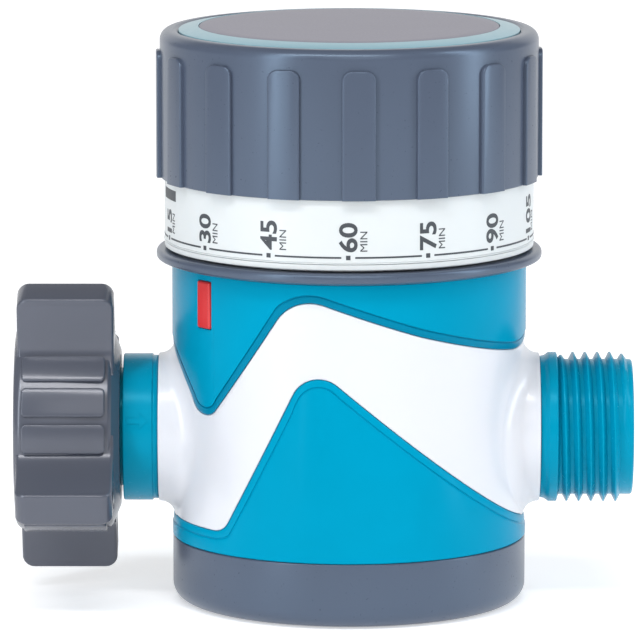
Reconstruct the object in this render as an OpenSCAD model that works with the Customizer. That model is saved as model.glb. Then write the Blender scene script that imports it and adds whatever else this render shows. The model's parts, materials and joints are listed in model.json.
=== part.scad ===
/* [Casing] */
// Outside radius of the white casing band
casing_r = 31.45; // [31.3:0.05:31.6]
// Outside radius of the lower and upper covers
cover_r = 31.85; // [31.75:0.05:31.95]
// Wall thickness of the covers
cover_wall = 1.6; // [1.4:0.1:1.8]
// Wall thickness of the casing halves under the covers
casing_wall = 1.8; // [1.6:0.1:2.2]
// Height of the grey base cap
base_h = 11.7; // [11.2:0.1:12.2]
// Height of the casing's top face
casing_top = 61.7; // [61.5:0.1:61.9]
// Radius of the rounded lip of the bezel ring
bezel_r = 34.6; // [34.2:0.1:34.8]

/* [Pipework] */
// Height of the pipe axis above the base
pipe_z = 31; // [30.8:0.1:31.2]
// Outside radius of the casing's half collars
collar_r = 13.4; // [13.3:0.05:13.5]
// Distance of the collars' end faces from the dial axis
collar_x = 34.3; // [34.1:0.1:34.5]
// Radius of the inlet neck
neck_r = 13.25; // [13.15:0.05:13.3]
// Crest radius of the 3/4 inch male hose thread
hose_r = 13.48; // [13.44:0.01:13.5]
// Pitch of the hose thread, 11.5 turns an inch
hose_pitch = 2.209; // [2.2:0.001:2.22]
// Distance of the outlet's end face from the dial axis
outlet_x = 51; // [50.9:0.1:51.2]
// Distance of the nut's open end from the dial axis
nut_x = 60; // [59.8:0.1:60.2]
// Radius of the nut's ring between its lobes
nut_r = 18.5; // [18.2:0.1:18.8]
// Reach of the nut's lobes from its axis
lobe_reach = 28.4; // [27:0.1:28.8]
// Angle of the first nut lobe from straight up, towards the front
lobe_turn = 22; // [0:1:89]

/* [Dial] */
// Outside radius of the white scale drum
drum_r = 33.15; // [33.05:0.05:33.2]
// Outside radius of the knob between its ribs
knob_r = 33.94; // [33.8:0.02:34]
// Height of the knob's lower edge
knob_z = 76.85; // [76.5:0.05:77.2]
// Height of the knob's rim
knob_top = 103.3; // [103.1:0.1:103.5]
// Number of grip ribs round the knob
ribs = 16; // [12:1:18]

/* [Hidden] */
$fn = 96;

fit = 0.05;           // radial gap of a running or assembled fit
far = 100;            // reach of a cutting block
pointer_angle = -53.9;

seat_r = cover_r - cover_wall - fit;         // casing radius under the covers
casing_in = seat_r - casing_wall;
cap_wall = 2.2;
cap_floor = 2.5;
cap_edge = 3;
screw_posts = [55, 125, 235, 305];
screw_post_r = 24;

// Wave edges of the two covers, seen from the front: x, height, corner radius
lower_edge = [[-40, 15.6, 0], [-22.45, 15.6, 3], [-7.15, 47.6, 5], [40, 8.35, 0]];
upper_edge = [[-40, 63.6, 0], [-25.8, 34.2, 2], [-9.86, 59.7, 7], [12.5, 52, 40], [30.4, 46.7, 3],
    [40, 53, 0]];

// Case screws run front to back: x, height
case_screws = [[-20, 15], [20, 15], [-20, 54], [20, 54]];

// Valve chamber
chamber_r = 15.5;
chamber_in = 12.5;
chamber_z = 15;
chamber_top = 48;
plenum_r = 10.5;
septum_z = 27;
seat_z = 30;
gasket_h = 1.2;
disc_h = 3;
stator_z = seat_z + gasket_h;
rotor_z = stator_z + disc_h + fit;
port_r = 2.9;
port_at = 7;
spindle_r = 3.5;
bonnet_screw_r = 17;
bonnet_screws_at = [45, 135, 225, 315];
tray_screws_at = [60, 165, 290];
tray_screw_r = 26;
inlet_bore = 8;
outlet_bore = 9;
spigot_r = 10.6;
spigot_flange_r = 12;
spigot_x = 47.5;
neck_x = 40.6;
pipe_r = 12;          // pipe inside the collars
stop_x = 24.8;        // inner ends of the collars, which stop the pipe's flanges
stop_r = 12.9;
collar_draft = 0.05;
thread_root = 12.2;

// Clockwork, levels from the tray upwards
tray_h = 1.8;
lower_plate_z = 66;
plate_h = 1.2;
upper_plate_z = 90;
plate_r = 28.4;
arbor_r = 3.5;
pillar_r = 2;
pillar_at = 25;
pillar_angles = [20, 205, 262, 320];
main_z = 68.2;
spring_z = 71;
spring_h = 10;
second_z = 82.2;
third_z = 84.6;
escape_z = 86.8;

pressure_angle = 25;
main_teeth = 60;
second_pinion_teeth = 12;
second_teeth = 48;
third_pinion_teeth = 10;
third_teeth = 40;
escape_pinion_teeth = 8;
main_module = 0.5;
second_module = 0.4;
third_module = 0.35;
escape_teeth = 20;
escape_r = 6;

second_step = main_module * (main_teeth + second_pinion_teeth) / 2;
third_step = second_module * (second_teeth + third_pinion_teeth) / 2;
escape_step = third_module * (third_teeth + escape_pinion_teeth) / 2;
pallet_step = 9.1;
third_out = 19.5;      // distances of the third, escape and pallet arbors from the dial axis
escape_out = 21;
second_angle = 90;
third_angle = second_angle + apex(second_step, third_out, third_step);
escape_angle = third_angle + apex(third_out, escape_out, escape_step);
pallet_angle = escape_angle + apex(escape_out, escape_out, pallet_step);
second_at = polar(second_step, second_angle);
third_at = polar(third_out, third_angle);
escape_at = polar(escape_out, escape_angle);
pallet_at = polar(escape_out, pallet_angle);

second_line = second_angle;
third_line = bearing(second_at, third_at);
escape_line = bearing(third_at, escape_at);
pallet_line = bearing(escape_at, pallet_at);

// Dial
drum_wall = 1.2;
bezel_top = 63.9;
drum_z = 64.4;
bead_z = 65.6;
cover_in = 30;
cover_out = drum_r - drum_wall - 0.6;
cover_top = 96.3;
rib_width = 9.9;
rib_turn = 2.6;
rib_r = knob_r + 0.71;
rib_top = 99.7;
knob_in = knob_r - 2.2;
knob_floor = 101.6;
knob_plate = 2.4;
hub_z = 93;
arbor_top = 98;
trim_in = 27;
trim_r = 30.6;
crown_z = 103.9;       // edge of the knob's disc, a little above the rim

function polar(r, a) = [r * cos(a), r * sin(a)];
function bearing(a, b) = atan2(b[1] - a[1], b[0] - a[0]);
// Angle at the axis between two arbors at distances a and b that stand c apart
function apex(a, b, c) = acos((a * a + b * b - c * c) / (2 * a * b));
function unit(v) = v / norm(v);
// Points of one rounded corner at p between a and b
function corner(a, p, b, r, n = 6) =
    let (u = unit([a[0] - p[0], a[1] - p[1]]), v = unit([b[0] - p[0], b[1] - p[1]]),
         half = acos(u * v) / 2, c = [p[0], p[1]] + unit(u + v) * r / sin(half),
         s = [p[0], p[1]] + u * r / tan(half) - c, e = [p[0], p[1]] + v * r / tan(half) - c,
         swing = s[0] * e[1] - s[1] * e[0] > 0 ? 180 - 2 * half : 2 * half - 180)
    [for (i = [0 : n]) let (t = swing * i / n)
        c + [s[0] * cos(t) - s[1] * sin(t), s[0] * sin(t) + s[1] * cos(t)]];
// An open line of [x, y, radius] points with its corners rounded
function rounded(line) = [for (i = [0 : len(line) - 1])
    each line[i][2] == 0 ? [[line[i][0], line[i][1]]]
        : corner(line[i - 1], line[i], line[i + 1], line[i][2])];
// A quarter circle about c from angle a0 to a1
function arc(c, r, a0, a1, n = 6) =
    [for (i = [0 : n]) c + polar(r, a0 + (a1 - a0) * i / n)];
function involute(pitch_r, r) =
    let (base = pitch_r * cos(pressure_angle), k = max(1, r / base))
    sqrt(k * k - 1) * 180 / PI - acos(1 / k);
// Half the angle that a tooth takes at radius r, with play on each flank
function tooth_half(teeth, m, r) =
    let (pitch_r = m * teeth / 2)
    90 / teeth - 0.12 * m / pitch_r * 180 / PI
        + involute(pitch_r, pitch_r) - involute(pitch_r, r);
function gear_points(teeth, m, addendum) =
    let (p = m * teeth / 2, root = p - 1.15 * m, tip = p + addendum * m,
         levels = [root, (root + p) / 2, p, (p + tip) / 2, tip])
    [for (i = [0 : teeth - 1]) let (mid = i * 360 / teeth) each concat(
        [for (k = [0 : 4]) polar(levels[k], mid - tooth_half(teeth, m, levels[k]))],
        [for (k = [4 : -1 : 0]) polar(levels[k], mid + tooth_half(teeth, m, levels[k]))])];
// Turn of a gear that meshes with another at bearing a, whose own turn is given
function mesh_turn(a, turn, teeth, next_teeth) =
    a + 180 - 180 / next_teeth + (a - turn) * teeth / next_teeth;

second_pinion_turn = mesh_turn(second_line, 0, main_teeth, second_pinion_teeth);
third_pinion_turn = mesh_turn(third_line, 0, second_teeth, third_pinion_teeth);
escape_pinion_turn = mesh_turn(escape_line, 0, third_teeth, escape_pinion_teeth);

module tube(r_out, r_in, h) {
    difference() {
        cylinder(r = r_out, h = h);
        translate([0, 0, -1]) cylinder(r = r_in, h = h + 2);
    }
}

// Ring sector between two angles, measured from the front towards +X
module sector(r_out, r_in, h, a0, a1) {
    intersection() {
        tube(r_out, r_in, h);
        rotate([0, 0, -90]) linear_extrude(h)
            polygon(concat([[0, 0]], arc([0, 0], 2 * r_out, a0, a1, 4)));
    }
}

// Children drawn along +X from the pipe axis
module on_pipe(x = 0) {
    translate([x, 0, pipe_z]) rotate([0, 90, 0]) children();
}

// Solid of revolution about the pipe axis from [x, r] points
module pipe_turned(points) {
    on_pipe() rotate_extrude() polygon([for (p = points) [p[1], p[0]]]);
}

// A slab that fills everything above or below a wave edge
module wave_slab(edge, end_z, lift = 0) {
    translate([0, far, lift]) rotate([90, 0, 0]) linear_extrude(2 * far)
        polygon(concat(rounded(edge), [[40, end_z], [-40, end_z]]));
}

module half_space(front) {
    translate([-far, front ? -far : 0, -far]) cube([2 * far, far, 2 * far]);
}

module screw(head_r, head_h, shank_r, length) {
    translate([0, 0, -length]) cylinder(r = shank_r, h = length);
    difference() {
        cylinder(r = head_r, h = head_h);
        for (a = [0, 90]) rotate([0, 0, a]) translate([-head_r * 0.6, -0.3, head_h - 0.8])
            cube([head_r * 1.2, 0.6, 2]);
    }
}

module base_cap() {
    color("slategray") difference() {
        union() {
            rotate_extrude() polygon(concat(
                [[0, 0]], arc([cover_r - 0.05 - cap_edge, cap_edge], cap_edge, -90, 0),
                [[cover_r - 0.05, base_h], [casing_in, base_h], [casing_in, cap_floor],
                 [0, cap_floor]]));
            for (a = screw_posts) rotate([0, 0, a]) translate([screw_post_r, 0, 0.5])
                cylinder(r = 4.2, h = base_h - 0.5);
        }
        for (a = screw_posts) rotate([0, 0, a]) translate([screw_post_r, 0, -1]) {
            cylinder(r = 3.1, h = 6);
            cylinder(r = 1.5 + fit, h = 2 * base_h);
        }
    }
}

module base_screws() {
    color("silver") for (a = screw_posts) rotate([0, 0, a])
        translate([screw_post_r, 0, 5]) mirror([0, 0, 1]) screw(2.8, 2, 1.5, 14);
}

// Casing shell before it is split into its front and rear halves
module casing_shell() {
    difference() {
        union() {
            difference() {
                translate([0, 0, base_h + fit]) cylinder(r = casing_r, h = casing_top - base_h - fit);
                difference() {
                    union() {
                        wave_slab(lower_edge, -far, 0.12);
                        wave_slab(upper_edge, far, -0.12);
                    }
                    cylinder(r = seat_r, h = far);
                }
            }
            pipe_turned([[-collar_x, 0], [-collar_x, collar_r - collar_draft], [0, collar_r + 0.3],
                [collar_x, collar_r - collar_draft], [collar_x, 0]]);
        }
        difference() {
            translate([0, 0, -1]) cylinder(r = casing_in, h = casing_top - 1.5);
            for (side = [-1, 1]) on_pipe(side > 0 ? stop_x : -far)
                cylinder(r = stop_r, h = far - stop_x);
        }
        translate([0, 0, -1]) cylinder(r = 22, h = far);
        on_pipe(-far) cylinder(r = pipe_r + fit, h = 2 * far);
        for (a = tray_screws_at) rotate([0, 0, a]) translate([tray_screw_r, 0, casing_top - 5])
            cylinder(r = 1.2 + fit, h = 10);
    }
}

module base_bosses(front) {
    for (a = screw_posts) if (front == (a > 180)) rotate([0, 0, a])
        translate([screw_post_r, 0, base_h + fit]) tube(3.2, 1.5 + fit, 9);
}

module casing_half(front) {
    difference() {
        union() {
            intersection() {
                casing_shell();
                half_space(front);
            }
            base_bosses(front);
            intersection() {
                for (s = case_screws) translate([s[0], 0, s[1]])
                    rotate([front ? 90 : -90, 0, 0]) cylinder(r = 3.2, h = 24);
                cylinder(r = seat_r - 0.4, h = far);
            }
        }
        for (s = case_screws) translate([s[0], 0, s[1]]) {
            rotate([90, 0, 0]) translate([0, 0, -30]) cylinder(r = 1.4 + fit, h = 45);
            rotate([-90, 0, 0]) translate([0, 0, 17]) cylinder(r = 2.7, h = 20);
        }
        for (a = screw_posts) rotate([0, 0, a]) translate([screw_post_r, 0, base_h - 1])
            cylinder(r = 1.5 + fit, h = 11);
    }
}

module front_casing() {
    color("white") casing_half(true);
}

module rear_casing() {
    color("white") casing_half(false);
}

module casing_screws() {
    color("silver") for (s = case_screws) translate([s[0], 17, s[1]]) rotate([-90, 0, 0])
        screw(2.6, 1.8, 1.4, 27);
}

module lower_cover() {
    color("deepskyblue") intersection() {
        translate([0, 0, base_h + fit]) tube(cover_r, cover_r - cover_wall, casing_top);
        wave_slab(lower_edge, -far);
    }
}

module upper_cover() {
    color("deepskyblue") difference() {
        intersection() {
            tube(cover_r, cover_r - cover_wall, casing_top);
            wave_slab(upper_edge, far);
        }
        on_pipe(-far) cylinder(r = collar_r + 0.15, h = 2 * far);
        pointer_block(0);
    }
}

// Slot for the pointer, or the pointer's own outline shrunk by gap
module pointer_block(gap) {
    rotate([0, 0, pointer_angle]) translate([-1.85 + gap, -far, 51.9 + gap])
        cube([3.7 - 2 * gap, far, 8.5 - 2 * gap]);
}

module pointer() {
    color("crimson") intersection() {
        pointer_block(fit);
        translate([0, 0, 50]) tube(cover_r + 0.45, cover_r - cover_wall, 12);
    }
}

module valve_body() {
    color("deepskyblue") difference() {
        union() {
            pipe_turned([[-spigot_x, 0], [-spigot_x, spigot_flange_r - 0.5],
                [-spigot_x + 0.8, spigot_flange_r], [-spigot_x + 1.7, spigot_flange_r],
                [-spigot_x + 1.7, spigot_r], [-neck_x, spigot_r], [-neck_x, neck_r],
                [-collar_x - 1, neck_r], [-collar_x - 1, neck_r - 0.3], [-collar_x - fit, neck_r - 0.3],
                [-collar_x - fit, pipe_r], [-stop_x + fit, pipe_r], [-stop_x + fit, stop_r],
                [-stop_x + 1.2, stop_r], [-stop_x + 1.2, pipe_r], [0, pipe_r], [0, 0]]);
            pipe_turned(concat([[0, 0], [0, pipe_r], [stop_x - 1.2, pipe_r], [stop_x - 1.2, stop_r],
                [stop_x - fit, stop_r], [stop_x - fit, pipe_r], [collar_x + fit, pipe_r],
                [collar_x + fit, 12.9], [35.8, hose_r],
                [37.4, hose_r], [37.7, thread_root]],
                [for (i = [0 : 5]) let (x = 38.2 + i * hose_pitch) each [[x - 0.35, thread_root],
                    [x + 0.25, hose_r], [x + 0.55, hose_r], [x + 1.15, thread_root]]],
                [[outlet_x - 0.6, thread_root], [outlet_x, thread_root - 0.6], [outlet_x, 0]]));
            translate([0, 0, chamber_z]) cylinder(r = chamber_r, h = chamber_top - chamber_z);
            for (a = bonnet_screws_at) rotate([0, 0, a]) translate([bonnet_screw_r, 0, 38])
                cylinder(r = 2.6, h = chamber_top - 38.1);
        }
        translate([0, 0, seat_z]) cylinder(r = chamber_in, h = far);
        translate([0, 0, chamber_z + 3]) cylinder(r = plenum_r, h = septum_z - chamber_z - 3);
        translate([port_at, 0, septum_z - 1]) cylinder(r = port_r, h = 10);
        on_pipe(-far) cylinder(r = inlet_bore, h = far - 16);
        on_pipe(16) cylinder(r = outlet_bore, h = far);
        intersection() {
            on_pipe(-20) cylinder(r = inlet_bore - 0.5, h = 14);
            cylinder(r = far, h = septum_z);
        }
        intersection() {
            on_pipe(6) cylinder(r = outlet_bore - 0.5, h = 14);
            translate([0, 0, rotor_z]) cylinder(r = far, h = far);
        }
        for (a = bonnet_screws_at) rotate([0, 0, a]) translate([bonnet_screw_r, 0, 41])
            cylinder(r = 1.2 + fit, h = far);
    }
}

module ported_disc(r, h) {
    difference() {
        cylinder(r = r, h = h);
        translate([port_at, 0, -1]) cylinder(r = port_r, h = h + 2);
    }
}

module seat_gasket() {
    color("dimgray") translate([0, 0, seat_z]) ported_disc(chamber_in - fit, gasket_h);
}

module stator_disc() {
    color("ivory") translate([0, 0, stator_z]) ported_disc(chamber_in - fit, disc_h);
}

module rotor_disc() {
    color("gainsboro") translate([0, 0, rotor_z]) difference() {
        cylinder(r = chamber_in - 0.3, h = disc_h);
        translate([0, 0, -1]) rotate([0, 0, 90])
            sector(port_at + port_r, port_at - port_r, disc_h + 2, -30, 165);
        translate([-2.5, -2.5, 1.2]) cube([5, 5, disc_h]);
    }
}

module valve_spindle() {
    top = rotor_z + disc_h;
    color("ivory") {
        translate([-2.45, -2.45, rotor_z + 1.25]) cube([4.9, 4.9, 3]);
        rotate_extrude() polygon([[0, top + fit], [4.8, top + fit], [4.8, 43.3],
            [spindle_r, 43.3], [spindle_r, 45], [2.3, 45], [2.3, 46.3], [spindle_r, 46.3],
            [spindle_r, 50.2], [2.3, 50.2], [2.3, 51.5], [spindle_r, 51.5], [spindle_r, 60.4],
            [0, 60.4]]);
        translate([-2, -2, 60]) cube([4, 4, 6]);
    }
}

module spindle_seals() {
    color("dimgray") for (z = [45.65, 50.85]) translate([0, 0, z])
        rotate_extrude() translate([2.94, 0]) circle(r = 0.58, $fn = 24);
}

module bonnet() {
    color("white") difference() {
        union() {
            rotate_extrude() polygon([[0, 43.5], [chamber_in - 0.15, 43.5], [chamber_in - 0.15, 45],
                [11.1, 45], [11.1, 46.6], [chamber_in - 0.15, 46.6], [chamber_in - 0.15, 48],
                [chamber_r, 48], [chamber_r, 50], [6.5, 50], [6.5, 54], [0, 54]]);
            for (a = bonnet_screws_at) rotate([0, 0, a]) translate([bonnet_screw_r, 0, 48])
                cylinder(r = 3, h = 2);
        }
        cylinder(r = spindle_r + fit, h = far);
        for (a = bonnet_screws_at) rotate([0, 0, a]) translate([bonnet_screw_r, 0, 41])
            cylinder(r = 1.2 + fit, h = far);
    }
}

module bonnet_seal() {
    color("dimgray") translate([0, 0, 45.8])
        rotate_extrude() translate([11.79, 0]) circle(r = 0.66, $fn = 24);
}

module bonnet_screws() {
    color("silver") for (a = bonnet_screws_at) rotate([0, 0, a])
        translate([bonnet_screw_r, 0, 50]) screw(2.3, 1.6, 1.2, 8.5);
}

module inlet_strainer() {
    color("silver") difference() {
        pipe_turned([[-spigot_x - 0.4, 0], [-spigot_x - 0.4, 11.2], [-spigot_x, 11.2],
            [-spigot_x, inlet_bore - 0.3], [-36, 5], [-36, 0]]);
        pipe_turned([[-spigot_x - 1, 0], [-spigot_x - 1, inlet_bore - 0.7],
            [-spigot_x + 0.3, inlet_bore - 0.7], [-36.5, 4.5], [-36.5, 0]]);
        for (a = [0 : 30 : 330]) on_pipe(-36) rotate([0, 0, a]) translate([3, -0.4, -10])
            cube([7, 0.8, 9]);
        for (x = [-2 : 2]) on_pipe(-40) translate([-4, x * 1.6 - 0.4, 0]) cube([8, 0.8, 10]);
    }
}

module hose_washer() {
    color("dimgray") on_pipe(-spigot_x - 3.2) tube(12.5, 8.3, 2.8);
}

// The nut's own frame: its axis upwards and its open end at the bottom
module coupling_nut() {
    length = nut_x - 41;
    throat = 9;
    color("slategray") on_pipe(-nut_x) difference() {
        union() {
            rotate_extrude() polygon(concat([[0, 0]], arc([nut_r - 1.5, 1.5], 1.5, -90, 0, 3),
                [[nut_r - 0.4, 17], [nut_r - 1.1, 17.4], [13.9, length], [0, length]]));
            for (k = [0 : 3]) rotate([0, 0, 180 + lobe_turn + 90 * k]) {
                translate([0, 0, 0.6]) linear_extrude(17.3) polygon([[12, -7], [17.2, -5.6],
                    [19.5, -4.2], [22, -3.5], [lobe_reach - 0.8, -2.8], [lobe_reach - 0.2, -2.2],
                    [lobe_reach, 0], [lobe_reach - 0.2, 2.2], [lobe_reach - 0.8, 2.8], [22, 3.5],
                    [19.5, 4.2], [17.2, 5.6], [12, 7]]);
                for (j = [-1 : 1]) rotate([0, 0, 45 + 20.3 * j]) translate([0, 0, 1.5])
                    intersection() {
                        tube(nut_r + 0.55, nut_r - 1, 14.9);
                        linear_extrude(20) polygon([[0, 0], polar(25, -8.15), polar(25, 8.15)]);
                    }
            }
        }
        for (k = [0 : 3]) rotate([0, 0, 180 + lobe_turn + 90 * k])
            translate([20, -1.6, 6]) cube([6, 3.2, 20]);
        translate([0, 0, -1]) cylinder(r = spigot_r + 0.1, h = 30);
        rotate_extrude() polygon(concat([[0, -1], [hose_r + 0.9, -1], [hose_r + 0.1, 0.6]],
            [for (i = [0 : 3]) let (z = 0.9 + i * hose_pitch) each [[12.5, z + 0.5],
                [12.5, z + 0.8], [hose_r + 0.1, z + 1.4], [hose_r + 0.1, z + 1.7]]],
            [[12.9, throat + 0.9], [12.9, 14.5], [0, 14.5]]));
    }
}

module movement_tray() {
    color("whitesmoke") difference() {
        union() {
            translate([0, 0, casing_top]) cylinder(r = 30.2, h = tray_h);
            for (a = pillar_angles) rotate([0, 0, a]) translate([pillar_at, 0, casing_top])
                cylinder(r = 3, h = lower_plate_z - casing_top);
        }
        translate([0, 0, casing_top - 1]) cylinder(r = 6, h = 10);
        for (a = pillar_angles) rotate([0, 0, a]) translate([pillar_at, 0, casing_top - 1]) {
            cylinder(r = 1.1 + fit, h = 10);
            cylinder(r = 2.3, h = 2.6);
        }
        for (a = tray_screws_at) rotate([0, 0, a]) translate([tray_screw_r, 0, casing_top - 1])
            cylinder(r = 1.2 + fit, h = 10);
    }
}

module tray_screws() {
    color("silver") for (a = tray_screws_at) rotate([0, 0, a])
        translate([tray_screw_r, 0, casing_top + tray_h]) screw(2.4, 1.4, 1.2, 4.2);
}

module bezel_ring() {
    color("slategray") rotate_extrude() polygon(concat([[30.3, casing_top + fit]],
        [[bezel_r - 1.6, casing_top + fit]], arc([bezel_r - 1.2, casing_top + 1.1], 1.2, -60, 0, 3),
        arc([bezel_r - 0.8, bezel_top - 0.8], 0.8, 0, 90, 3), [[30.3, bezel_top]]));
}

module plate_holes(z) {
    for (at = [second_at, third_at, escape_at, pallet_at]) translate([at[0], at[1], z - 1])
        cylinder(r = 0.5 + fit, h = plate_h + 2);
    translate([0, 0, z - 1]) cylinder(r = arbor_r + fit, h = plate_h + 2);
    for (a = pillar_angles) rotate([0, 0, a]) translate([pillar_at, 0, z - 1])
        cylinder(r = 1.1 + fit, h = plate_h + 2);
}

module lower_plate() {
    color("goldenrod") difference() {
        translate([0, 0, lower_plate_z]) cylinder(r = plate_r, h = plate_h);
        plate_holes(lower_plate_z);
        rotate([0, 0, 240]) translate([14, 0, lower_plate_z - 1]) cylinder(r = 6, h = 4);
    }
}

module upper_plate() {
    color("goldenrod") difference() {
        translate([0, 0, upper_plate_z]) cylinder(r = plate_r, h = plate_h);
        plate_holes(upper_plate_z);
        rotate([0, 0, 300]) translate([14.6, 0, upper_plate_z - 1]) cylinder(r = 0.8 + fit, h = 4);
        rotate([0, 0, 240]) translate([14, 0, upper_plate_z - 1]) cylinder(r = 6, h = 4);
    }
}

module pillars() {
    low = lower_plate_z + plate_h;
    color("silver") for (a = pillar_angles) rotate([0, 0, a]) translate([pillar_at, 0, low])
        tube(pillar_r, 1.1 + fit, upper_plate_z - low);
}

module pillar_screws() {
    color("silver") for (a = pillar_angles) rotate([0, 0, a])
        translate([pillar_at, 0, casing_top + 1.55]) mirror([0, 0, 1]) screw(2.2, 1.4, 1.1, 9);
}

module plate_screws() {
    color("silver") for (a = pillar_angles) rotate([0, 0, a])
        translate([pillar_at, 0, upper_plate_z + plate_h]) screw(2.2, 1.4, 1.1, 7);
}

module main_arbor() {
    color("silver") difference() {
        union() {
            translate([0, 0, 60.5]) cylinder(r = arbor_r, h = 92.5 - 60.5);
            translate([-2.4, -2.4, 92]) cube([4.8, 4.8, arbor_top - 92]);
        }
        translate([-2.05, -2.05, 59]) cube([4.1, 4.1, 7.2]);
        translate([0, 0, 89]) cylinder(r = 1.5 + fit, h = 20);
    }
}

module gear(teeth, m, addendum, h, bore) {
    difference() {
        linear_extrude(h) polygon(gear_points(teeth, m, addendum));
        translate([0, 0, -1]) cylinder(r = bore, h = h + 2);
    }
}

// Wheel with its web cut out between spokes
module spoked(r_in, r_out, h, spokes, width) {
    difference() {
        children();
        difference() {
            translate([0, 0, -1]) tube(r_out, r_in, h + 2);
            for (k = [0 : spokes - 1]) rotate([0, 0, k * 360 / spokes])
                translate([0, -width / 2, -2]) cube([r_out + 1, width, h + 4]);
        }
    }
}

module main_wheel() {
    color("gold") translate([0, 0, main_z]) spoked(6, 12.3, 1.8, 5, 2.4)
        gear(main_teeth, main_module, 0.6, 1.8, arbor_r + 0.02);
}

// Flat spiral strip hooked to the arbor and to the post
module mainspring() {
    turns = 7;
    steps = 20 * turns;
    first = arbor_r + 0.15;
    grow = (13.3 - first) / steps;
    color("steelblue") translate([0, 0, spring_z]) rotate([0, 0, 300]) linear_extrude(spring_h)
        polygon(concat([for (i = [0 : steps]) polar(first + grow * i, i * 18)],
            [for (i = [steps : -1 : 0]) polar(first + grow * i + 0.3, i * 18)]));
}

module spring_post() {
    color("silver") rotate([0, 0, 300]) translate([14.6, 0, spring_z])
        cylinder(r = 0.8, h = upper_plate_z + plate_h - spring_z);
}

// Steel arbor with pivots in both plates and a pinion cut on it
module pinion_arbor(at, teeth, m, turn, z, h, r) {
    translate([at[0], at[1], 0]) {
        translate([0, 0, lower_plate_z + 0.1])
            cylinder(r = 0.5, h = upper_plate_z - lower_plate_z + plate_h - 0.2);
        translate([0, 0, lower_plate_z + plate_h + 0.15])
            cylinder(r = r, h = upper_plate_z - lower_plate_z - plate_h - 0.3);
        translate([0, 0, z]) rotate([0, 0, turn]) linear_extrude(h)
            polygon(gear_points(teeth, m, 0.9));
    }
}

module wheel_on(at, teeth, m, z, h, r, spokes) {
    translate([at[0], at[1], z]) spoked(m * teeth * 0.18, m * teeth / 2 - 1.6, h, spokes, 1.3)
        gear(teeth, m, 0.6, h, r + 0.02);
}

module second_pinion() {
    color("silver") pinion_arbor(second_at, second_pinion_teeth, main_module,
        second_pinion_turn, main_z - 0.3, 2.4, 1);
}

module second_wheel() {
    color("gold") wheel_on(second_at, second_teeth, second_module, second_z, 1.2, 1, 4);
}

module third_pinion() {
    color("silver") pinion_arbor(third_at, third_pinion_teeth, second_module,
        third_pinion_turn, second_z - 0.3, 1.8, 0.8);
}

module third_wheel() {
    color("gold") wheel_on(third_at, third_teeth, third_module, third_z, 1, 0.8, 4);
}

module escape_pinion() {
    color("silver") pinion_arbor(escape_at, escape_pinion_teeth, third_module,
        escape_pinion_turn, third_z - 0.3, 1.6, 0.7);
}

module escape_wheel() {
    color("gold") translate([escape_at[0], escape_at[1], escape_z]) difference() {
        linear_extrude(1) polygon([for (i = [0 : escape_teeth - 1])
            let (a = i * 360 / escape_teeth) each [polar(escape_r - 1.3, a),
                polar(escape_r, a + 2), polar(escape_r, a + 4), polar(escape_r - 1.3, a + 9)]]);
        translate([0, 0, -1]) cylinder(r = 0.72, h = 3);
        for (k = [0 : 4]) rotate([0, 0, 72 * k]) translate([2.9, 0, -1]) cylinder(r = 1, h = 3);
    }
}

module pallet_arbor() {
    color("silver") translate([pallet_at[0], pallet_at[1], 0]) {
        translate([0, 0, lower_plate_z + 0.1])
            cylinder(r = 0.5, h = upper_plate_z - lower_plate_z + plate_h - 0.2);
        translate([0, 0, lower_plate_z + plate_h + 0.15])
            cylinder(r = 0.8, h = upper_plate_z - lower_plate_z - plate_h - 0.3);
    }
}

// Rocking lever, its two arms astride the escape wheel and a weighted bar behind
module pallet_lever() {
    color("gold") translate([pallet_at[0], pallet_at[1], 88.3])
        rotate([0, 0, pallet_line + 180]) difference() {
            union() {
                cylinder(r = 1.8, h = 1);
                for (s = [-1, 1]) rotate([0, 0, 50 * s]) translate([0, -0.7, 0])
                    cube([6.4, 1.4, 1]);
                translate([-1.5, -5, 0]) cube([1.8, 10, 1]);
            }
            translate([0, 0, -1]) cylinder(r = 0.82, h = 3);
            for (s = [-1, 1]) rotate([0, 0, 50 * s]) translate([5.6, 0, -1])
                cylinder(r = 0.42, h = 3);
        }
}

module pallet_pins() {
    color("silver") translate([pallet_at[0], pallet_at[1], 86.7])
        rotate([0, 0, pallet_line + 180]) for (s = [-1, 1]) rotate([0, 0, 50 * s])
            translate([5.6, 0, 0]) cylinder(r = 0.4, h = 2.6);
}

module movement_cover() {
    color("whitesmoke") difference() {
        rotate_extrude() polygon([[6.3, cover_top - 1.3], [6.3, cover_top], [cover_out - 1, cover_top],
            [cover_out, cover_top - 1], [cover_out, bezel_top + 0.1], [cover_in, bezel_top + 0.1],
            [cover_in, 63.55],
            [28.9, 63.55], [28.9, 64.7], [cover_in, 66], [cover_in, cover_top - 1.3]]);
        for (a = tray_screws_at) rotate([0, 0, a]) translate([tray_screw_r, 0, 63])
            cylinder(r = 3, h = 3);
    }
}

module dial_scale() {
    color("white") rotate_extrude() polygon([[drum_r - drum_wall, drum_z], [drum_r - 0.25, drum_z],
        [drum_r, drum_z + 0.25], [drum_r, bead_z - 0.25], [drum_r + 0.12, bead_z - 0.13],
        [drum_r + 0.12, bead_z + 0.07], [drum_r, bead_z + 0.19], [drum_r, knob_z + 1.3],
        [drum_r - drum_wall, knob_z + 1.3]]);
}

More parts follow.
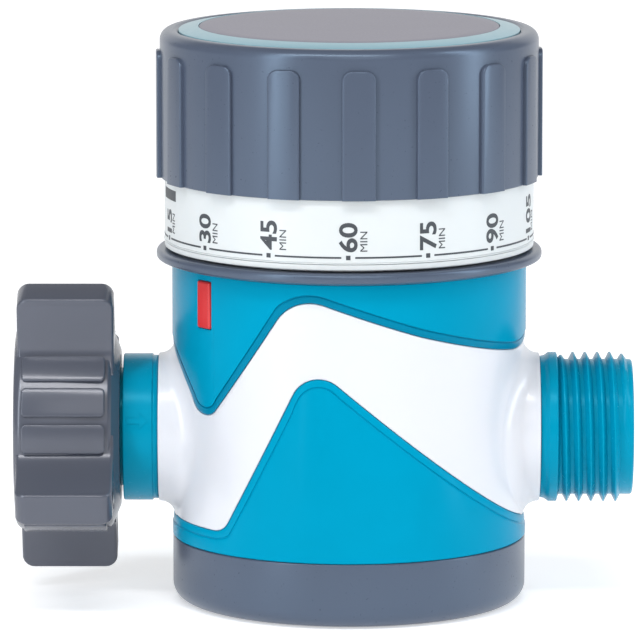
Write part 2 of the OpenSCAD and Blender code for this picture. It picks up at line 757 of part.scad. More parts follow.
module knob() {
    color("slategray") difference() {
        union() {
            rotate_extrude() polygon(concat([[0, knob_z], [knob_r, knob_z]],
                arc([knob_r - 1.8, knob_top - 1.8], 1.8, 0, 90),
                [[trim_r + 1, knob_top], [trim_r + 0.1, knob_top - 0.4], [trim_r + 0.1, knob_floor],
                 [0, knob_floor]]));
            for (k = [0 : ribs - 1]) rotate([0, 0, rib_turn + k * 360 / ribs])
                translate([0, 0, knob_z + 0.1]) sector(rib_r, knob_r - 1,
                    rib_top - knob_z - 0.1, -rib_width / 2, rib_width / 2);
        }
        difference() {
            union() {
                translate([0, 0, knob_z - 1]) cylinder(r = knob_in, h = knob_floor - knob_plate - knob_z + 1);
                translate([0, 0, knob_z - 1]) cylinder(r = drum_r + fit, h = 2.4);
            }
            translate([0, 0, hub_z]) cylinder(r = 5.5, h = 20);
        }
        translate([-2.45, -2.45, hub_z - 1]) cube([4.9, 4.9, arbor_top - hub_z + 1.05]);
        cylinder(r = 1.5 + fit, h = far + 10);
        translate([0, 0, knob_floor - 1.6]) cylinder(r = 3.6, h = 5);
    }
}

module knob_screw() {
    color("silver") translate([0, 0, knob_floor - 1.6]) screw(3.5, 1.5, 1.5, 9);
}

module knob_trim_ring() {
    color("lightblue") rotate_extrude() polygon([[trim_in, knob_floor + fit],
        [trim_r, knob_floor + fit], [trim_r, knob_top - 0.2], [trim_r - 0.3, knob_top],
        [trim_in, crown_z]]);
}

module knob_disc() {
    color("thistle") rotate_extrude() polygon([[0, knob_floor + fit], [trim_in - fit, knob_floor + fit],
        [trim_in - fit, crown_z - 0.15], [trim_in - 0.25, crown_z], [0, crown_z + 0.1]]);
}

base_cap();
base_screws();
front_casing();
rear_casing();
casing_screws();
lower_cover();
upper_cover();
pointer();
valve_body();
seat_gasket();
stator_disc();
rotor_disc();
valve_spindle();
spindle_seals();
bonnet();
bonnet_seal();
bonnet_screws();
inlet_strainer();
hose_washer();
coupling_nut();
movement_tray();
tray_screws();
bezel_ring();
lower_plate();
pillars();
pillar_screws();
upper_plate();
plate_screws();
main_arbor();
main_wheel();
mainspring();
spring_post();
second_pinion();
second_wheel();
third_pinion();
third_wheel();
escape_pinion();
escape_wheel();
pallet_arbor();
pallet_lever();
pallet_pins();
movement_cover();
dial_scale();
knob();
knob_screw();
knob_trim_ring();
knob_disc();
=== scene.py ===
import json
import math

import bpy
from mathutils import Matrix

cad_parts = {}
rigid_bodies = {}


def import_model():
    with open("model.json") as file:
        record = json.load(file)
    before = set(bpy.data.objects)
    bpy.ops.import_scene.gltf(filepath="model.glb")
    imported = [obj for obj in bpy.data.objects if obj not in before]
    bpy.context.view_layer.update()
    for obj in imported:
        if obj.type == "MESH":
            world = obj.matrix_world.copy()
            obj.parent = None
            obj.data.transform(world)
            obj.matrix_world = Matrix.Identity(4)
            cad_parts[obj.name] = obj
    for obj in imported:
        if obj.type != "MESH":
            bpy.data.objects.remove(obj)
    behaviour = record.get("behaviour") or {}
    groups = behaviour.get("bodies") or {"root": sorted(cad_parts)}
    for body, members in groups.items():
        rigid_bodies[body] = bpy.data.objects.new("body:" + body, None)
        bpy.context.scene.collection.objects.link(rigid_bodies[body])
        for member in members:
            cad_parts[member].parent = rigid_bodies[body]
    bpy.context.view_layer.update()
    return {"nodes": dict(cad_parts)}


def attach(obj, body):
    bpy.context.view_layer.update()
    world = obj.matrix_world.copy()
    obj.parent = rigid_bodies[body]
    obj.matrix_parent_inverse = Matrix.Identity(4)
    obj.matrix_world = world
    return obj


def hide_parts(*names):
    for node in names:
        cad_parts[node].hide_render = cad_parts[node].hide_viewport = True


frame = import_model()
MM = 0.001


# ---- Camera, lamps and floor
# A long lens looks a little down at the timer, as in a catalogue studio. Two tall soft boxes stand left
# and right of it, a long one hangs above, weak ones stand in front and behind, and the table is pale board.
PIPE_HEIGHT = 31
LOOK_AT = (-5.24, 0, 50.44)
CAMERA_AWAY = 1260
CAMERA_PITCH = math.radians(9.03)
FRAME_WIDTH = 115.3     # millimetres across the view at the dial's axis
SENSOR = 36
COOL = (0.8, 0.9, 1)
BOARD = (0.86, 0.86, 0.87, 1)

bpy.ops.object.select_all(action="DESELECT")
bpy.ops.object.camera_add(
    location=(LOOK_AT[0] * MM, -CAMERA_AWAY * math.cos(CAMERA_PITCH) * MM,
              (LOOK_AT[2] + CAMERA_AWAY * math.sin(CAMERA_PITCH)) * MM),
    rotation=(math.pi / 2 - CAMERA_PITCH, 0, 0))
camera = bpy.context.object
camera.data.sensor_width = SENSOR
camera.data.lens = SENSOR * CAMERA_AWAY / FRAME_WIDTH
camera.data.clip_end = 20
bpy.context.scene.camera = camera
bpy.context.scene.view_settings.view_transform = "Standard"


def soft_box(name, place, size, power, tint=(1, 1, 1)):
    """A rectangular lamp, size across by height in metres, aimed at the timer's middle."""
    bpy.ops.object.light_add(type="AREA", location=place)
    lamp = bpy.context.object
    lamp.name = name
    lamp.data.shape = "RECTANGLE"
    lamp.data.size, lamp.data.size_y = size
    lamp.data.energy = power
    lamp.data.color = tint
    away = lamp.location.copy()
    away.z -= 0.055
    lamp.rotation_euler = away.to_track_quat("Z", "Y").to_euler()


soft_box("left_box", (-0.56, -0.56, 0.38), (0.15, 0.95), 3.8, (0.84, 0.92, 1))
soft_box("right_box", (0.80, -0.15, 0.38), (0.18, 0.95), 4.3, COOL)
soft_box("top_box", (-0.1, -0.55, 0.85), (0.8, 0.14), 4.6)
soft_box("front_box", (0.15, -1.25, 0.70), (0.9, 0.6), 2.0)
soft_box("back_box", (0, 1.3, 0.46), (2.4, 0.9), 5.5)

world = bpy.data.worlds.new("studio")
world.use_nodes = True
world.node_tree.nodes["Background"].inputs["Color"].default_value = (1, 0.985, 0.96, 1)
world.node_tree.nodes["Background"].inputs["Strength"].default_value = 0.27
bpy.context.scene.world = world

bpy.ops.object.select_all(action="DESELECT")
bpy.ops.mesh.primitive_plane_add(size=6, location=(0, 0, -0.0002))
table = bpy.context.object
table.name = "table"
board = bpy.data.materials.new("pale_board")
board.use_nodes = True
surface = board.node_tree.nodes["Principled BSDF"].inputs
surface["Base Color"].default_value = BOARD
surface["Roughness"].default_value = 0.7
surface["Emission Color"].default_value = (1, 1, 1, 1)
surface["Emission Strength"].default_value = 0.48
table.data.materials.append(board)


# ---- Valve body
# One injection moulding in teal plastic: the inlet neck, the valve chamber inside the casing and the
# outlet with its male hose thread. The chamber is the frame's own; its two ends are finished here, with a
# raised arrow on the neck for the way the water flows.
HOSE_CREST = 13.48
HOSE_ROOT = 12.2
HOSE_PITCH = 25.4 / 11.5
THREAD_START = 36.43
THREAD_TURNS = 5.62
THREAD_TURN = 0.2 * math.tau        # where the ridge begins, from straight down
PIPE_RADIUS = 12
OUTLET_BORE = 9
OUTLET_END = 51
INLET_BORE = 8
SPIGOT_RADIUS = 10.6
SPIGOT_END = 47.5
NECK_END = 40.6
NECK_RADIUS = 13.25
ARROW_TURN = math.radians(-14)      # of the raised flow arrow on the neck, from the front


def rounded(outline, steps=5):
    """An outline of (x, y, corner radius) points, in order, with its corners turned into arcs."""
    points = []
    for index, (x, y, radius) in enumerate(outline):
        if radius == 0:
            points.append((x, y))
            continue
        before = outline[index - 1]
        after = outline[(index + 1) % len(outline)]
        to_before = math.atan2(before[1] - y, before[0] - x)
        to_after = math.atan2(after[1] - y, after[0] - x)
        opening = math.remainder(to_after - to_before, math.tau)
        reach = radius / math.sin(abs(opening) / 2)
        middle = to_before + opening / 2
        centre = (x + reach * math.cos(middle), y + reach * math.sin(middle))
        turn = math.copysign(math.pi - abs(opening), -opening)
        start = middle + math.pi - turn / 2
        for step in range(steps + 1):
            angle = start + turn * step / steps
            points.append((centre[0] + radius * math.cos(angle), centre[1] + radius * math.sin(angle)))
    return points


def turned(name, outline, segments=144, cap=False):
    """A body of revolution about Z, drawn out ring by ring from (radius, height) points in millimetres.
    It joins its last ring to its first, or closes both ends flat when it has a cap."""
    bpy.ops.object.select_all(action="DESELECT")
    radius, height = outline[0]
    bpy.ops.mesh.primitive_circle_add(vertices=segments, radius=radius * MM,
                                      fill_type="NGON" if cap else "NOTHING",
                                      location=(0, 0, height * MM))
    piece = bpy.context.object
    piece.name = name
    bpy.ops.object.transform_apply(location=True, rotation=True, scale=True)
    bpy.ops.object.mode_set(mode="EDIT")
    bpy.ops.mesh.select_all(action="SELECT")
    for radius_to, height_to in outline[1:] if cap else outline[1:] + outline[:1]:
        bpy.ops.mesh.extrude_edges_move()
        ratio = radius_to / radius
        bpy.ops.transform.resize(value=(ratio, ratio, 1), center_override=(0, 0, 0))
        bpy.ops.transform.translate(value=(0, 0, (height_to - height) * MM))
        radius, height = radius_to, height_to
    if cap:
        bpy.ops.mesh.edge_face_add()
    bpy.ops.mesh.select_all(action="SELECT")
    bpy.ops.mesh.remove_doubles(threshold=1e-6)
    bpy.ops.mesh.normals_make_consistent(inside=False)
    bpy.ops.object.mode_set(mode="OBJECT")
    return piece


def only(*pieces):
    """Selects these pieces and nothing else, the last of them active."""
    bpy.ops.object.select_all(action="DESELECT")
    for piece in pieces:
        piece.select_set(True)
    bpy.context.view_layer.objects.active = pieces[-1]


def on_pipe(piece, start=0):
    """Lays a piece made along +Z down along the pipe, its foot at start millimetres from the dial axis."""
    only(piece)
    piece.rotation_euler = (0, math.pi / 2, 0)
    piece.location = (start * MM, 0, PIPE_HEIGHT * MM)
    bpy.ops.object.transform_apply(location=True, rotation=True, scale=True)


def cut(piece, tool, operation="DIFFERENCE"):
    """Cuts one piece with another, and throws the tool away."""
    only(piece)
    boolean = piece.modifiers.new("cut", "BOOLEAN")
    boolean.operation = operation
    boolean.object = tool
    boolean.solver = "EXACT"
    bpy.ops.object.modifier_apply(modifier=boolean.name)
    bpy.data.objects.remove(tool)


def joined(name, *pieces):
    """Joins pieces of one moulding into one object."""
    only(*pieces)
    bpy.ops.object.join()
    whole = bpy.context.object
    whole.name = name
    return whole


def dressed(piece, material, body, slot, *nodes, angle=32):
    """Smooths a finished piece, gives it its material, ties it to its body and hides the CAD nodes it stands
    for. The slot argument is not used.
    """
    only(piece)
    bpy.ops.object.shade_smooth_by_angle(angle=math.radians(angle))
    piece.data.materials.clear()
    piece.data.materials.append(material)
    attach(piece, body)
    if nodes:
        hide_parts(*nodes)
    return piece


def plastic(name, colour, roughness, grain=0.5, mottle=0.06, depth=0.02, coat=0.0, through=0.0, shine=0.5,
            tint=(1, 1, 1)):
    """Moulded plastic: faint flow mottling in colour and gloss, and a fine grain that lifts the surface.
    grain is the spacing of the texture in millimetres and depth how far it lifts the surface."""
    material = bpy.data.materials.new(name)
    material.use_nodes = True
    nodes = material.node_tree.nodes
    link = material.node_tree.links.new
    shader = nodes["Principled BSDF"]
    shader.inputs["Specular IOR Level"].default_value = shine
    shader.inputs["Specular Tint"].default_value = (*tint, 1)
    shader.inputs["Coat Weight"].default_value = coat
    shader.inputs["Coat Roughness"].default_value = 0.12
    shader.inputs["Subsurface Weight"].default_value = through
    shader.inputs["Subsurface Radius"].default_value = (0.6 * MM, 0.9 * MM, 1.2 * MM)
    shader.inputs["Subsurface Scale"].default_value = 1.0
    place = nodes.new("ShaderNodeTexCoord")

    flow = nodes.new("ShaderNodeTexNoise")
    flow.inputs["Scale"].default_value = 1 / (14 * MM)
    flow.inputs["Detail"].default_value = 3
    flow.inputs["Distortion"].default_value = 0.8
    link(place.outputs["Object"], flow.inputs["Vector"])
    shade = nodes.new("ShaderNodeMix")
    shade.data_type = "RGBA"
    shade.inputs["A"].default_value = (*(c * (1 - mottle) for c in colour), 1)
    shade.inputs["B"].default_value = (*(min(1, c * (1 + mottle)) for c in colour), 1)
    link(flow.outputs["Fac"], shade.inputs["Factor"])
    link(shade.outputs["Result"], shader.inputs["Base Color"])

    pores = nodes.new("ShaderNodeTexNoise")
    pores.inputs["Scale"].default_value = 1 / (grain * MM)
    pores.inputs["Detail"].default_value = 4
    link(place.outputs["Object"], pores.inputs["Vector"])
    gloss = nodes.new("ShaderNodeMapRange")
    gloss.inputs["To Min"].default_value = roughness * 0.86
    gloss.inputs["To Max"].default_value = roughness * 1.14
    link(pores.outputs["Fac"], gloss.inputs["Value"])
    link(gloss.outputs["Result"], shader.inputs["Roughness"])
    relief = nodes.new("ShaderNodeBump")
    relief.inputs["Distance"].default_value = depth * MM
    relief.inputs["Strength"].default_value = 0.6
    link(pores.outputs["Fac"], relief.inputs["Height"])
    link(relief.outputs["Normal"], shader.inputs["Normal"])
    return material


teal = plastic("teal_gloss", (0.0, 0.27, 0.435), 0.25, grain=1.4, depth=0.005, shine=0.05,
               tint=(0.2, 0.8, 1))
deep_teal = plastic("teal_pipe", (0.0, 0.255, 0.4), 0.26, grain=1.2, depth=0.008, shine=0.2,
                    tint=(0.2, 0.8, 1))


def hose_ridge(name, root, crest, turns, inside=False, fade=0.35):
    """The V-shaped ridge of a hose thread, wound up +Z from 0, fading out over its first and last part
    turn. An inside thread's ridge points to the axis."""
    sink = -0.25 if not inside else 0.25
    flank = [(root + sink, 0.1), (root, 0.3), (crest, 0.98), (crest, 1.22), (root, 1.9), (root + sink, 2.1)]
    bpy.ops.object.select_all(action="DESELECT")
    bpy.ops.mesh.primitive_circle_add(vertices=len(flank), radius=1)
    ridge = bpy.context.object
    ridge.name = name
    for vertex, (radius, height) in zip(ridge.data.vertices, flank):
        vertex.co = (radius * MM, 0, height * MM)
    wind = ridge.modifiers.new("wind", "SCREW")
    wind.steps = wind.render_steps = round(72 * turns)
    wind.angle = turns * math.tau
    wind.screw_offset = turns * HOSE_PITCH * MM
    bpy.ops.object.modifier_apply(modifier=wind.name)
    for index, vertex in enumerate(ridge.data.vertices):
        turn = index // len(flank) / 72
        left = min(turn, turns - turn)
        radius = math.hypot(vertex.co.x, vertex.co.y)
        height = root + sink + (radius / MM - root - sink) * (0.12 + 0.88 * min(1, left / fade))
        vertex.co.x *= height * MM / radius
        vertex.co.y *= height * MM / radius
    bpy.ops.object.mode_set(mode="EDIT")
    bpy.ops.mesh.select_all(action="DESELECT")
    bpy.ops.mesh.select_mode(type="EDGE")
    bpy.ops.mesh.select_non_manifold()
    bpy.ops.mesh.fill_holes(sides=0)
    bpy.ops.mesh.select_all(action="SELECT")
    bpy.ops.mesh.normals_make_consistent(inside=False)
    bpy.ops.object.mode_set(mode="OBJECT")
    return ridge


only(frame["nodes"]["valve_body"])
bpy.ops.object.duplicate()
chamber = bpy.context.object
bpy.ops.object.parent_clear(type="CLEAR_KEEP_TRANSFORM")
bpy.ops.object.mode_set(mode="EDIT")
bpy.ops.mesh.select_all(action="SELECT")
bpy.ops.mesh.remove_doubles(threshold=1e-6)
bpy.ops.object.mode_set(mode="OBJECT")
chamber.hide_render = False
bpy.ops.object.select_all(action="DESELECT")
bpy.ops.mesh.primitive_cube_add(size=1, location=(0, 0, PIPE_HEIGHT * MM), scale=(0.066, 0.08, 0.08))
cut(chamber, bpy.context.object, "INTERSECT")

outlet = turned("outlet", rounded([
    (OUTLET_BORE, 32, 0), (PIPE_RADIUS, 32, 0), (PIPE_RADIUS, 34.35, 0), (12.75, 34.35, 0.2),
    (12.95, 35.2, 0.5), (HOSE_CREST, 35.9, 0.4), (HOSE_CREST, 37.35, 0.25), (HOSE_ROOT, 37.7, 0.3),
    (HOSE_ROOT, OUTLET_END, 0.5), (OUTLET_BORE + 0.2, OUTLET_END, 0.4), (OUTLET_BORE, OUTLET_END - 0.8, 0)]))
on_pipe(outlet)
thread = hose_ridge("outlet_thread", HOSE_ROOT, HOSE_CREST, THREAD_TURNS, fade=0.45)
only(thread)
thread.rotation_euler = (0, 0, THREAD_TURN)
bpy.ops.object.transform_apply(location=True, rotation=True, scale=True)
on_pipe(thread, THREAD_START)
neck = turned("neck", rounded([
    (INLET_BORE, -32.8, 0), (PIPE_RADIUS, -32.8, 0), (PIPE_RADIUS, -34.35, 0), (12.95, -34.35, 0),
    (12.95, -35.2, 0.15), (NECK_RADIUS, -35.35, 0.15), (NECK_RADIUS, -NECK_END, 0.3),
    (SPIGOT_RADIUS, -NECK_END, 0), (SPIGOT_RADIUS, -45.8, 0), (PIPE_RADIUS, -45.8, 0.2),
    (PIPE_RADIUS, -46.7, 0.2), (11.5, -SPIGOT_END, 0.1), (INLET_BORE + 0.3, -SPIGOT_END, 0.2),
    (INLET_BORE, -47, 0)]))
on_pipe(neck)
ARROW = [(0, -36.1), (-1.5, -37.6), (-0.5, -37.6), (-0.5, -39.8), (0.5, -39.8), (0.5, -37.6), (1.5, -37.6)]
bpy.ops.object.select_all(action="DESELECT")
bpy.ops.mesh.primitive_circle_add(vertices=len(ARROW), radius=1, fill_type="NGON")
arrow = bpy.context.object
for vertex, (x, z) in zip(arrow.data.vertices, ARROW):
    turn = x / NECK_RADIUS + ARROW_TURN
    root = NECK_RADIUS - 0.3
    vertex.co = (root * math.sin(turn) * MM, -root * math.cos(turn) * MM, z * MM)
bpy.ops.object.mode_set(mode="EDIT")
bpy.ops.mesh.select_all(action="SELECT")
bpy.ops.mesh.extrude_region_move()
bpy.ops.transform.resize(value=(1 + 0.45 / NECK_RADIUS, 1 + 0.45 / NECK_RADIUS, 1), center_override=(0, 0, 0))
bpy.ops.mesh.select_all(action="SELECT")
bpy.ops.mesh.normals_make_consistent(inside=False)
bpy.ops.object.mode_set(mode="OBJECT")
on_pipe(arrow)
valve_body = joined("valve_moulding", chamber, outlet, thread, neck, arrow)
dressed(valve_body, deep_teal, "casing", "teal_plastic", "valve_body")


# ---- Casing halves
# Two white gloss shells clamp the valve body between their half collars. Each has a raised band whose
# edges follow the covers' waves, and each collar flares into the band. They meet down the two sides.
CASING_RADIUS = 31.45
SEAT_RADIUS = 30.2
CASING_INSIDE = 28.4
BASE_TOP = 11.75
CASING_TOP = 61.7
COLLAR_RADIUS = 13.4
COLLAR_END = 34.3
COLLAR_FLARE = 2.7
EDGE_STEPS = 12
LOWER_EDGE = rounded([(-40, 15.6, 0), (-22.45, 15.6, 3), (-7.15, 47.6, 5), (40, 8.35, 0)], EDGE_STEPS)
UPPER_EDGE = rounded([(-40, 63.6, 0), (-25.8, 34.2, 2), (-9.86, 59.7, 7), (12.5, 52, 40), (30.4, 46.7, 3),
                      (40, 53, 0)], EDGE_STEPS)


def along(edge, x):
    """Height of a wave edge at x, read off its rounded line."""
    for (x0, z0), (x1, z1) in zip(edge, edge[1:]):
        if x <= x1:
            return z0 + (z1 - z0) * (x - x0) / max(x1 - x0, 1e-9)
    return edge[-1][1]


def beside(edge, inset):
    """A height rule that runs inset millimetres from a wave edge, measured square to it."""
    def height(x, radius):
        slope = (along(edge, x + 0.4) - along(edge, x - 0.4)) / 0.8
        slope *= math.sqrt(max(0, 1 - min(1, abs(x) / radius) ** 2))
        return along(edge, x) + inset * math.hypot(1, slope)
    return height


def sleeve(name, rings, columns=448):
    """A closed sleeve about Z. Each ring has a radius and either one height or a rule for its height."""
    bpy.ops.object.select_all(action="DESELECT")
    bpy.ops.mesh.primitive_circle_add(vertices=columns, radius=0.03)
    piece = bpy.context.object
    piece.name = name
    bpy.ops.object.mode_set(mode="EDIT")
    bpy.ops.mesh.select_all(action="SELECT")
    for _ in rings:
        bpy.ops.mesh.extrude_edges_move()
    bpy.ops.object.mode_set(mode="OBJECT")
    for index, vertex in enumerate(piece.data.vertices):
        radius, height = rings[(index // columns) % len(rings)]
        turn = math.tau * (index % columns) / columns
        x = radius * math.sin(turn)
        tall = height if isinstance(height, (int, float)) else height(x, radius)
        vertex.co = (x * MM, -radius * math.cos(turn) * MM, tall * MM)
    bpy.ops.object.mode_set(mode="EDIT")
    bpy.ops.mesh.select_all(action="SELECT")
    bpy.ops.mesh.remove_doubles(threshold=1e-6)
    bpy.ops.mesh.normals_make_consistent(inside=False)
    bpy.ops.object.mode_set(mode="OBJECT")
    return piece


white = plastic("white_gloss", (0.67, 0.675, 0.71), 0.3, grain=1.6, mottle=0.012, depth=0.005, coat=0.3,
                through=0.08)

shell = sleeve("shell", [
    (CASING_INSIDE, BASE_TOP), (SEAT_RADIUS, BASE_TOP), (SEAT_RADIUS, beside(LOWER_EDGE, 0.1)),
    (CASING_RADIUS - 0.12, beside(LOWER_EDGE, 0.1)), (CASING_RADIUS, beside(LOWER_EDGE, 0.22)),
    (CASING_RADIUS, beside(LOWER_EDGE, 0.9)), (CASING_RADIUS, beside(UPPER_EDGE, -0.9)),
    (CASING_RADIUS, beside(UPPER_EDGE, -0.22)), (CASING_RADIUS - 0.12, beside(UPPER_EDGE, -0.1)),
    (SEAT_RADIUS, beside(UPPER_EDGE, -0.1)), (SEAT_RADIUS, CASING_TOP), (22, CASING_TOP), (22, 59.2),
    (CASING_INSIDE, 59.2)])


def collar(side):
    """A collar round the pipe. Its flare lies on the round casing, so each ring of the flare is moved in
    or out to follow the casing's curve."""
    flare = [(COLLAR_RADIUS + COLLAR_FLARE * (1 - math.sin(t)), COLLAR_FLARE * (1 - math.cos(t)))
             for t in (math.pi / 2 * k / 10 for k in range(11))]
    outline = flare + [(COLLAR_RADIUS, 20.3), (COLLAR_RADIUS - 0.08, 20.52), (COLLAR_RADIUS - 0.3, 20.6),
                       (11.5, 20.6), (11.5, 12), (COLLAR_RADIUS + COLLAR_FLARE, 12)]
    piece = turned("collar", outline, segments=128)
    for vertex in piece.data.vertices:
        height = vertex.co.z / MM
        if height < 11:
            casing = math.sqrt(CASING_RADIUS ** 2 - (vertex.co.y / MM) ** 2)
            vertex.co.z = (casing - 0.03 + height) * MM
        else:
            vertex.co.z = (height - 20.6 + COLLAR_END) * MM
    on_pipe(piece)
    if side < 0:
        only(piece)
        piece.rotation_euler = (0, 0, math.pi)
        bpy.ops.object.transform_apply(location=True, rotation=True, scale=True)
    return piece


cut(shell, joined("collars", collar(1), collar(-1)), "UNION")
bore = turned("bore", [(PIPE_RADIUS + 0.05, -40), (PIPE_RADIUS + 0.05, 40)], cap=True)
on_pipe(bore)
cut(shell, bore)
SEAM = 0.03     # half the hairline between the two halves
for name, node, kept_side in (("front_shell", "front_casing", -1), ("rear_shell", "rear_casing", 1)):
    only(shell)
    bpy.ops.object.duplicate()
    half = bpy.context.object
    half.name = name
    bpy.ops.object.mode_set(mode="EDIT")
    bpy.ops.mesh.select_all(action="SELECT")
    bpy.ops.mesh.bisect(plane_co=(0, kept_side * SEAM * MM, 0), plane_no=(0, kept_side, 0),
                        clear_inner=True, use_fill=True)
    bpy.ops.object.mode_set(mode="OBJECT")
    dressed(half, white, "casing", "white_plastic", node)
bpy.data.objects.remove(shell)


# ---- Covers and pointer
# Two teal gloss sleeves slide over the casing, one from each end, down to the white band. A narrow step
# runs beside each wave edge, painted a darker teal as painted shade. The red pointer is a separate
# moulding pressed into the upper cover.
COVER_RADIUS = 31.85
COVER_INSIDE = 30.25
POINTER_TURN = math.radians(-53.9)
POINTER_SIZE = (3.7, 8.4)
POINTER_MIDDLE = 56.15
SLOT_GAP = 0.16


def cover(name, edge, end_height, inward):
    """A cover from end_height to its wave edge. inward is 1 where the cover lies above its edge."""
    step = [(0.0, 1.62), (0.05, 1.5), (0.28, 1.38), (0.28, 1.28), (0.14, 1.16), (0.2, 0.3), (0.32, 0.08),
            (0.5, 0.0)]
    lip = [(COVER_RADIUS - down, beside(edge, inward * back)) for down, back in step]
    return sleeve(name, [
        (COVER_INSIDE, end_height), (COVER_RADIUS - 0.2, end_height),
        (COVER_RADIUS, end_height + inward * -0.2)] + lip + [(COVER_INSIDE, beside(edge, 0.0))])


lower_cover = cover("lower_sleeve", LOWER_EDGE, BASE_TOP, -1)
dressed(lower_cover, teal, "casing", "teal_plastic", "lower_cover", angle=40)
upper_cover = cover("upper_sleeve", UPPER_EDGE, CASING_TOP, 1)


def block(name, low, high):
    """A box between two corners in millimetres, left in edit mode with everything selected."""
    bpy.ops.object.select_all(action="DESELECT")
    bpy.ops.mesh.primitive_cube_add(
        size=1, location=[(a + b) / 2 * MM for a, b in zip(low, high)],
        scale=[(b - a) * MM for a, b in zip(low, high)])
    piece = bpy.context.object
    piece.name = name
    bpy.ops.object.transform_apply(location=True, rotation=True, scale=True)
    bpy.ops.object.mode_set(mode="EDIT")
    bpy.ops.mesh.select_all(action="SELECT")
    return piece


def pick(piece, kind, test):
    """Selects the vertices, edges or faces whose middle, in millimetres, passes the test."""
    bpy.ops.object.mode_set(mode="EDIT")
    bpy.ops.mesh.select_mode(type=kind)
    bpy.ops.mesh.select_all(action="DESELECT")
    bpy.ops.object.mode_set(mode="OBJECT")
    mesh = piece.data
    items = {"VERT": mesh.vertices, "EDGE": mesh.edges, "FACE": mesh.polygons}[kind]
    for item in items:
        spots = [item.co] if kind == "VERT" else [mesh.vertices[v].co for v in item.vertices]
        item.select = test(*(sum(spot[axis] for spot in spots) / len(spots) / MM for axis in range(3)))
    bpy.ops.object.mode_set(mode="EDIT")


def sliced(piece, spacing, axis=0):
    """Cuts a piece across with parallel planes, so that it can bend between them."""
    only(piece)
    low = min(v.co[axis] for v in piece.data.vertices)
    high = max(v.co[axis] for v in piece.data.vertices)
    count = int((high - low) / (spacing * MM))
    bpy.ops.object.mode_set(mode="EDIT")
    for step in range(1, count + 1):
        bpy.ops.mesh.select_all(action="SELECT")
        spot = [0, 0, 0]
        spot[axis] = low + (high - low) * step / (count + 1)
        bpy.ops.mesh.bisect(plane_co=spot, plane_no=[1 if k == axis else 0 for k in range(3)])
    bpy.ops.object.mode_set(mode="OBJECT")


def wrapped(piece, radius, turn=0.0):
    """Bends a piece made flat in front, x along the curve and -y outwards, round a cylinder about Z."""
    for vertex in piece.data.vertices:
        angle = vertex.co.x / MM / radius + turn
        reach = radius * MM - vertex.co.y
        vertex.co.x = reach * math.sin(angle)
        vertex.co.y = -reach * math.cos(angle)


# A darker teal for the narrow step beside each wave edge: painted shade, not a colour of the plastic.
teal_step_painted_shade = plastic("teal_step_painted_shade", (0.0, 0.19, 0.32), 0.3, grain=1.4, depth=0.005, shine=0.15,
                    tint=(0.2, 0.8, 1))


def edged(piece):
    """Paints the narrow step beside the wave a darker teal: painted shade for the shading that the step
    catches.
    """
    piece.data.materials.append(teal_step_painted_shade)
    piece.active_material_index = 1
    pick(piece, "FACE", lambda x, y, z: 0.1 < COVER_RADIUS - math.hypot(x, y) < 0.55)
    bpy.ops.object.material_slot_assign()
    bpy.ops.object.mode_set(mode="OBJECT")


# Painted shade on the lower cover's step.
edged(lower_cover)
pointer_half = (POINTER_SIZE[0] / 2, POINTER_SIZE[1] / 2)
slot_half = (pointer_half[0] + SLOT_GAP, pointer_half[1] + SLOT_GAP)
slot_cutter = block("slot_cutter", (-slot_half[0], -4, POINTER_MIDDLE - slot_half[1]),
                    (slot_half[0], 4, POINTER_MIDDLE + slot_half[1]))
bpy.ops.object.mode_set(mode="OBJECT")
wrapped(slot_cutter, COVER_RADIUS, POINTER_TURN)
cut(upper_cover, slot_cutter)
dressed(upper_cover, teal, "casing", "teal_plastic", "upper_cover", angle=40)
# Painted shade on the upper cover's step.
edged(upper_cover)

red = plastic("red_gloss", (0.6, 0.025, 0.028), 0.3, grain=1.0, mottle=0.05, depth=0.004, coat=0.05)
pointer = block("pointer_bar", (-pointer_half[0], -0.42, POINTER_MIDDLE - pointer_half[1]),
                (pointer_half[0], 1.5, POINTER_MIDDLE + pointer_half[1]))
pick(pointer, "EDGE", lambda x, y, z: abs(x) > pointer_half[0] - 0.01 and abs(z - POINTER_MIDDLE) > 4)
bpy.ops.mesh.bevel(offset=0.35 * MM, segments=3, affect="EDGES")
pick(pointer, "EDGE", lambda x, y, z: y < 0)
bpy.ops.mesh.bevel(offset=0.4 * MM, segments=4, affect="EDGES")
bpy.ops.object.mode_set(mode="OBJECT")
sliced(pointer, 0.6)
wrapped(pointer, COVER_RADIUS, POINTER_TURN)
dressed(pointer, red, "casing", "red_plastic", "pointer")


# ---- Inlet strainer, washer and swivel nut
# A wire strainer sits in the inlet under a rubber washer. The slate nut is snapped over the spigot's
# lip: a ring with four hollow grip lobes, three raised pads between each pair, and the hose thread inside.
NUT_END = 60
RING_RADIUS = 18.5
LOBE_REACH = 28.4
LOBE_TURN = math.radians(22)
LOBE_ROOT = 15.5
LOBE_FOOT = 0.6
LOBE_HEAD = 17.9
LOBE_HALF = 3           # half its thickness, before it is tapered and flared into the ring
PAD_SPAN = math.radians(2 * 8.15)
PAD_STEP = 20.3         # degrees from one pad to the next
PAD_FOOT = 1.5
PAD_HEAD = 16.4
WIRE = 0.28
SCREEN_RADIUS = 7.7


